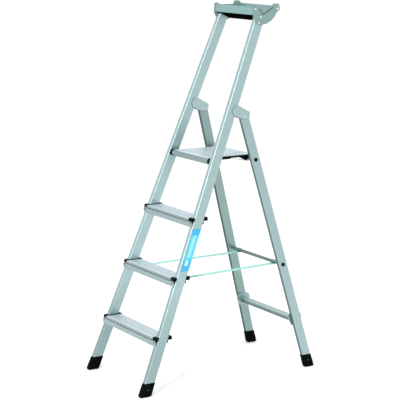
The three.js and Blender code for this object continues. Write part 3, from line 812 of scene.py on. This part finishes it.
# The line's section: distance from just outside the plate, and side of the line.
V_SECTION = ((1, -1), (1, 1), (-0.9, 1), (-0.9, -1))
TRAY_PLATE_FACE = 3.3          # the end plate's outer face, out from the rail
UNSHADED_RIM = 10                  # how far below the rim the painted black shade starts
EAR_RISE = 6                   # where the rear ear's round corner starts, above the rim
EAR_CORNER, EAR_ROUND = 4, 10  # its radius in the CAD, and here


def tray():
    """The bent trough, with painted black shade underneath and painted shade along its broken
    edges.
    """
    obj = copy_of("tool_tray", "tray_trough", [TRAY_SHEET, UNDERSIDE_SHADE, EDGE_SHADE], 0.8, edge=2)
    # Painted shade: faces looking down below the rim get the black material
    for face in obj.data.polygons:
        if face.normal.z < -0.3 and face.center.z < (TRAY_RIM - UNSHADED_RIM) / 1000:
            face.material_index = 1
    settle(obj, "front_frame", "rail_aluminium", "tool_tray")


def round_ear(obj):
    """Turns the small corner radius of the plate's rear ear into a large one."""
    inwards, margin = EAR_ROUND - EAR_CORNER, 0.05
    for vertex in obj.data.vertices:
        y, z = vertex.co.y * 1000 + MIDDLE_Y - TRAY_REAR, vertex.co.z * 1000 - TRAY_RIM
        if y > -margin and z > EAR_RISE - margin:
            turn = math.atan2(z - EAR_RISE, y)
            vertex.co.y += (EAR_ROUND * math.cos(turn) - inwards - y) / 1000
            vertex.co.z += (EAR_ROUND * math.sin(turn) - z) / 1000


def tray_plate(word, side):
    """The end plate, with a V-shaped line pressed into its outer face; painted shade fills the line
    and lies on the broken edges.
    """
    name = "tray_plate_" + word
    obj = copy_of("tray_end_" + word, name, [END_PLATE, GROOVE_SHADE, EDGE_SHADE], 1.2, 3, edge=2)
    round_ear(obj)
    rings = []
    for (y, z), (dy, dz) in V_LINE:
        face = FRONT.outer(z) + TRAY_PLATE_FACE
        rings.append([place(side * (face + x), y + dy * w, z + dz * w) for x, w in V_SECTION])
    cutter = loft(name + "_cutter", rings, GROOVE_SHADE)
    groove = obj.modifiers.new("groove", "BOOLEAN")
    groove.operation, groove.solver, groove.object = "DIFFERENCE", "EXACT", cutter
    groove.material_mode = "TRANSFER"
    bpy.context.view_layer.update()
    depsgraph = bpy.context.evaluated_depsgraph_get()
    shaped = bpy.data.meshes.new_from_object(obj.evaluated_get(depsgraph))
    obj.modifiers.clear()
    obj.data = shaped
    shaped.name = name
    bpy.data.objects.remove(cutter)
    smooth(obj)
    weigh(obj)
    settle(obj, "front_frame", "rail_aluminium", "tray_end_" + word)


tray()
both(tray_plate)

# ---- Spring catches, straps and label -----------------------------------------------------------

STRAP_HALF, STRAP_THICK = 14.0, 0.75  # half its width, and its thickness inside the selvedges
STRAP_X, STRAP_CLOSING = 143, 12      # its middle at the tread, and how far it closes in from there
# Across the strap, with thick selvedges: share of the half width, and of the thickness.
STRAP_SECTION = (
    (-1, -0.5), (-0.985, 0.55), (-0.93, 0.9), (-0.86, 0.7), (0.86, 0.7), (0.93, 0.9), (0.985, 0.55),
    (1, -0.5), (0.93, -0.9), (0.86, -0.7), (-0.86, -0.7), (-0.93, -0.9),
)
STRAP_STUD, STUD_Z = ((0, 0.5), (0.2, 3.0), (0.8, 2.9), (1.6, 2.0), (2.0, 0.8)), 448


def spring_catch(word, side):
    settle(copy_of("platform_catch_" + word, "spring_strip_" + word, STEEL, 0.4),
           "platform", "steel", "platform_catch_" + word)


def strap_route():
    """The strap's middle line in (y, z): down the tread's lip, back to the rod and round it."""
    lip = FRONT.front_at(2 * STEP) + TREAD_REAR + GAP + 0.8
    rod_y, wrap, steps = REAR.middle(STRAP_Z), ROD_R + 1.0, 30
    bend, bend_z = 4, 442.6  # where it turns away from the lip
    start = [(lip, 455), (lip, 450), (lip, 445), *arc(lip + bend, bend_z, bend, 180, 270, 5)]
    (y0, z0), (y1, z1) = start[-1], (rod_y, STRAP_Z - wrap)
    run = [(y0 + (y1 - y0) * k / steps, z0 + (z1 - z0) * k / steps) for k in range(1, steps + 1)]
    return start + run + arc(rod_y, STRAP_Z, wrap, -75, 75, 12)


def strap(word, side):
    """A flat woven band that closes in a little towards the rod."""
    route = strap_route()
    lip_y, rod_y = route[0][0], REAR.middle(STRAP_Z)
    rings, lengths = [], [0.0]
    for i, (y, z) in enumerate(route):
        before, after = Vector(route[max(i - 1, 0)]), Vector(route[min(i + 1, len(route) - 1)])
        along = (after - before).normalized()
        normal = Vector((-along.y, along.x))
        centre = STRAP_X - STRAP_CLOSING * min(1, max(0, (y - lip_y) / (rod_y - lip_y)))
        rings.append([place(side * (centre + STRAP_HALF * u), y + normal.x * STRAP_THICK * v,
                            z + normal.y * STRAP_THICK * v) for u, v in STRAP_SECTION])
        if i:
            lengths.append(lengths[-1] + (Vector((y, z)) - before).length / 1000)
    obj = loft("strap_band_" + word, rings, WEBBING)
    uv = obj.data.uv_layers.new(name="UVMap")
    for loop in obj.data.loops:
        ring, k = divmod(loop.vertex_index, len(STRAP_SECTION))
        uv.data[loop.index].uv = (STRAP_SECTION[k][0] * STRAP_HALF / 1000, lengths[ring])
    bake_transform(obj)
    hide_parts("strap_" + word)
    stud = turned("strap_stud_" + word, STRAP_STUD, MIDDLE_Y, 0, STEEL)
    move_turned(stud, place(side * STRAP_X, lip_y + 0.8, STUD_Z), 1)
    settle(stud, "front_frame", "steel", "strap_rivet_" + word)


def label():
    """A plain film label: blue ends, a paler middle, a white square and two white lines."""
    blue, cyan, white = range(3)
    bottom, top, left, right = 482, 646, 7, FRONT.depth - 1
    layers = (0.3, 0.72)  # the film's back and face, out from the rail
    zs = [bottom, bottom + 3, bottom + 22, bottom + 42, bottom + 52, top - 26, top - 3, top]
    ys = [left, left + 9, left + 12, left + 15.5, left + 19.5, left + 23, left + 26, right]
    vertices = [place(*FRONT.leaned(x, y, z)) for x in layers for z in zs for y in ys]
    faces, tones = [], []

    def tone(row, column):
        if row == 2 and 1 <= column <= 4 or row == 4 and column in (2, 4):
            return white
        return cyan if row in (3, 4) else blue

    columns, size = len(ys), len(ys) * len(zs)
    for row in range(len(zs) - 1):
        for column in range(columns - 1):
            a = row * columns + column
            quad = (a, a + 1, a + 1 + columns, a + columns)
            faces += [quad[::-1], tuple(q + size for q in quad)]
            tones += [blue, tone(row, column)]
    rim = [
        *range(columns),
        *(r * columns + columns - 1 for r in range(1, len(zs))),
        *(size - 1 - c for c in range(1, columns)),
        *(r * columns for r in range(len(zs) - 2, 0, -1)),
    ]
    for a, b in zip(rim, rim[1:] + rim[:1]):
        faces.append((a, b, b + size, a + size))
        tones.append(blue)
    obj = build("rail_film", vertices, faces, [FILM_BLUE, FILM_CYAN, FILM_WHITE], tones)
    settle(obj, "front_frame", "blue_film", "rail_label")


both(spring_catch)
both(strap)
label()

# ---- Studio, in metres --------------------------------------------------------------------------

LIGHT_TARGET = Vector((0, 0, 0.75))
CAMERA_AT = (5.14977, -3.17009, 1.85291)
CAMERA_TARGET = Vector((-0.00536, -0.00040, 0.71772))


def world():
    """An even white surround."""
    surround = bpy.data.worlds.new("studio")
    surround.use_nodes = True
    background = surround.node_tree.nodes["Background"]
    background.inputs["Color"].default_value = (1, 1, 1, 1)
    background.inputs["Strength"].default_value = 1.06
    bpy.context.scene.world = surround
    bpy.context.scene.view_settings.view_transform = "Standard"


def floor():
    """A plain pale floor, just below the shoes."""
    half, z = 60, -0.0006
    mesh = bpy.data.meshes.new("floor")
    corners = [(-half, -half, z), (half, -half, z), (half, half, z), (-half, half, z)]
    mesh.from_pydata(corners, [], [(0, 1, 2, 3)])
    new_object("floor", mesh, studio_floor())


def aim(obj, location, target):
    obj.location = location
    obj.rotation_euler = (target - obj.location).to_track_quat("-Z", "Y").to_euler()


def area(name, azimuth, elevation, distance, width, height, power, color=(1, 1, 1)):
    """A soft box; azimuth 0 is in front of the ladder and 90 on its right."""
    a, e = math.radians(azimuth), math.radians(elevation)
    direction = Vector((math.sin(a) * math.cos(e), -math.cos(a) * math.cos(e), math.sin(e)))
    light = bpy.data.lights.new(name, "AREA")
    light.shape, light.size, light.size_y = "RECTANGLE", width, height
    light.energy, light.color = power, color
    obj = bpy.data.objects.new(name, light)
    bpy.context.scene.collection.objects.link(obj)
    aim(obj, LIGHT_TARGET + distance * direction, LIGHT_TARGET)


def camera():
    lens = bpy.data.cameras.new("camera")
    lens.sensor_width, lens.lens = 36, 134.13
    lens.clip_end = 200
    obj = bpy.data.objects.new("camera", lens)
    bpy.context.scene.collection.objects.link(obj)
    aim(obj, CAMERA_AT, CAMERA_TARGET)
    bpy.context.scene.camera = obj


world()
floor()
area("key_strip", 36, 24, 5.0, 0.5, 2.8, 170)
area("side_box", 96, 26, 5.0, 1.6, 1.6, 20)
area("top_box", 10, 82, 4.5, 2.0, 2.0, 25, (1.0, 0.95, 1.0))
camera()
